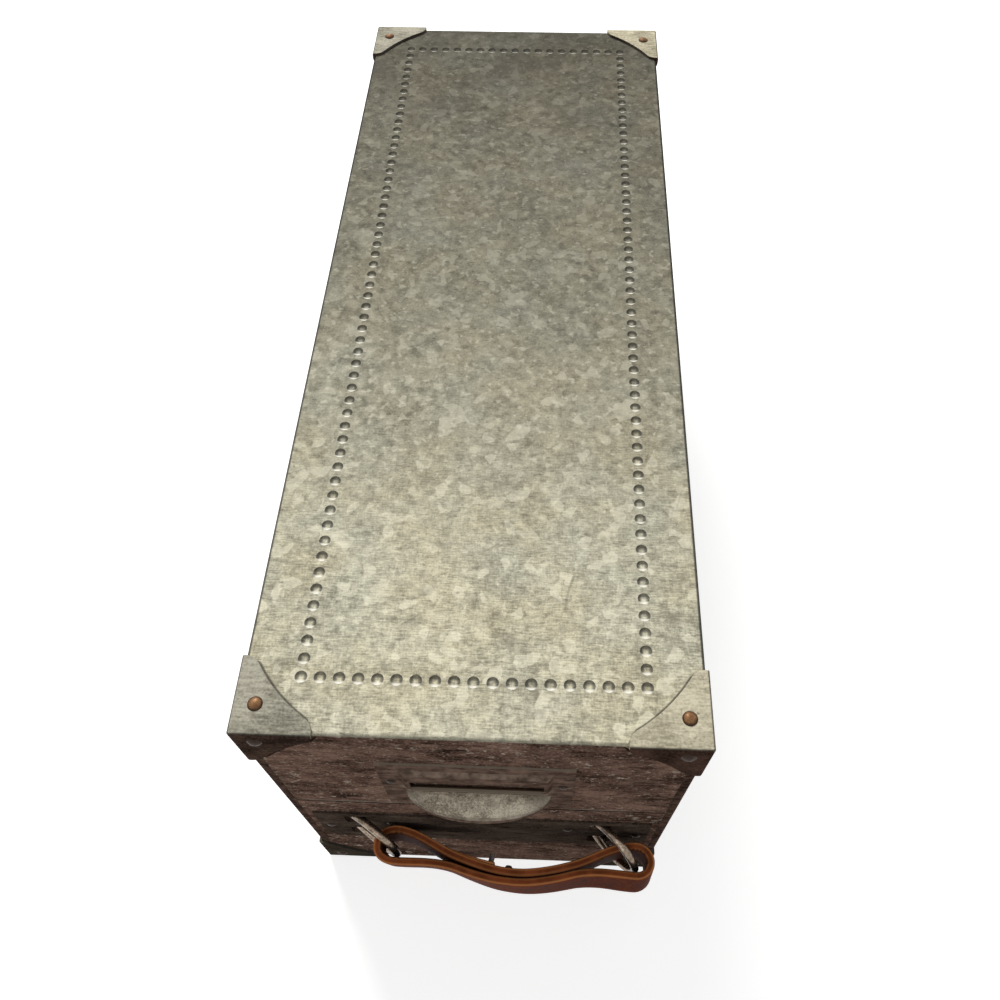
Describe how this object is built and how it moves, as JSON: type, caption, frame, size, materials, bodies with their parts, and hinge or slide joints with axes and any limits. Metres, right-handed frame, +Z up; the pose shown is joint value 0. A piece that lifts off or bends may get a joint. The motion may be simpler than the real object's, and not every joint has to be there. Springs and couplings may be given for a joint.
{
  "type": "hinged delivery box",
  "caption": "Long riveted sheet-metal delivery box with a deep hinged lid, corner brackets, a label holder with a finger pull, and a leather loop handle on swinging rings.",
  "frame": {"origin": "middle of the bounding box at its lowest level, under the box", "axes": "+Z up, +Y from the handle end to the hinge end along the box, +X to the right seen from the handle end"},
  "size_m": [0.1698, 0.4664, 0.1994],
  "materials": {
    "galvanised_sheet": "mottled galvanised zinc, satin",
    "dark_sheet": "dark weathered zinc, satin",
    "bracket_steel": "worn satin",
    "copper_rivet": "tarnished copper",
    "steel": "worn bright",
    "leather": "worn, oiled"
  },
  "bodies": {
    "base": {"base_wrapper": "galvanised_sheet", "base_front_panel": "dark_sheet", "base_rear_panel": "galvanised_sheet", "inner_rim": "galvanised_sheet", "base_bracket_front_left": "bracket_steel", "base_bracket_front_right": "bracket_steel", "base_bracket_rear_left": "bracket_steel", "base_bracket_rear_right": "bracket_steel", "base_bracket_rivets": "copper_rivet", "handle_plate": "dark_sheet", "handle_plate_rivets": "steel", "hinge_base_leaf_left": "steel", "hinge_base_leaf_right": "steel", "hinge_pin_left": "steel", "hinge_pin_right": "steel", "hinge_base_rivets": "steel"},
    "lid": {"lid_wrapper": "galvanised_sheet", "lid_front_panel": "dark_sheet", "lid_rear_panel": "galvanised_sheet", "lid_bracket_front_left": "bracket_steel", "lid_bracket_front_right": "bracket_steel", "lid_bracket_rear_left": "bracket_steel", "lid_bracket_rear_right": "bracket_steel", "lid_bracket_rivets": "copper_rivet", "label_pull": "dark_sheet", "label_pull_rivets": "steel", "hinge_lid_leaf_left": "steel", "hinge_lid_leaf_right": "steel", "hinge_lid_rivets": "steel"},
    "left_ring": {"ring_left": "steel"},
    "right_ring": {"ring_right": "steel"},
    "strap": {"handle_strap": "leather", "strap_rivets": "steel"}
  },
  "joints": [
    {"name": "lid_hinge", "type": "hinge", "parent": "base", "child": "lid", "pos_m": [0, 0.2302, 0.10915], "axis": [-1, 0, 0], "range_deg": [0, 180]},
    {"name": "left_ring_turn", "type": "hinge", "parent": "base", "child": "left_ring", "pos_m": [-0.0565, -0.2071, 0.071], "axis": [0, 0, -1], "range_deg": [0, 51]},
    {"name": "right_ring_turn", "type": "hinge", "parent": "base", "child": "right_ring", "pos_m": [0.0535, -0.2071, 0.071], "axis": [0, 0, -1], "range_deg": [0, 45.4]},
    {"name": "strap_turn", "type": "hinge", "parent": "left_ring", "child": "strap", "pos_m": [-0.03826, -0.2194, 0.071], "axis": [0, 0, 1], "range_deg": [0, 53]}
  ],
  "couplings": [
    {"joint": "right_ring_turn", "follows": "left_ring_turn", "ratio": 0.89},
    {"joint": "strap_turn", "follows": "left_ring_turn", "ratio": 1.039}
  ]
}
